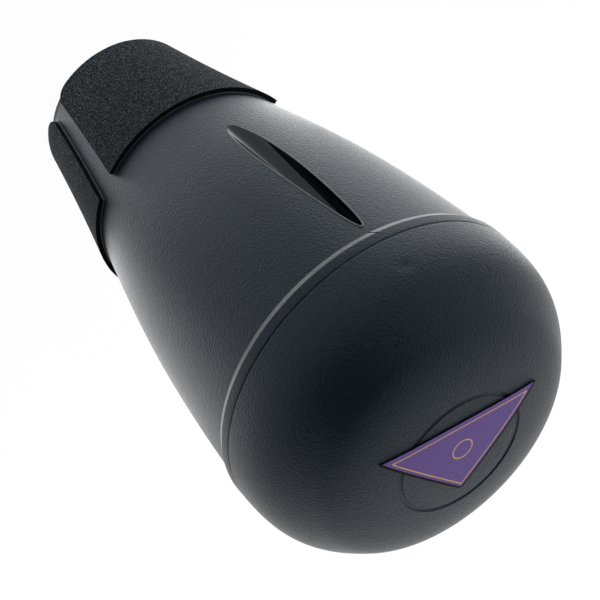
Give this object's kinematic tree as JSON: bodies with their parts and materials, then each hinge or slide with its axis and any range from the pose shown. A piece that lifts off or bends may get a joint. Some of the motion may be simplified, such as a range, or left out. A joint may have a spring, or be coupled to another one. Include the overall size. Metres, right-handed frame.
{
  "type": "horn practice mute",
  "caption": "Hollow tapered practice mute for a horn's bell: foam-padded open neck, bulging cone with a leaf-shaped side port, and a domed closed end.",
  "frame": {"origin": "centre of the flat neck rim that the mute stands on", "axes": "+Z along the mute's axis from the neck to the domed end; -Y towards the side port; +X makes the frame right-handed"},
  "size_m": [0.103, 0.103, 0.1891],
  "materials": {
    "shell": "satin, fine moulded grain",
    "foam": "closed-cell foam with a granular face",
    "film": "thin adhesive film",
    "badge": "satin printed plate",
    "cement": "cured cement"
  },
  "bodies": {
    "root": {"body_shell": "shell", "end_cap": "shell", "joint_glue_ring": "cement", "front_pad": "foam", "left_pad": "foam", "right_pad": "foam", "front_pad_adhesive": "film", "left_pad_adhesive": "film", "right_pad_adhesive": "film", "badge_plate": "badge", "badge_adhesive": "film"}
  },
  "joints": []
}
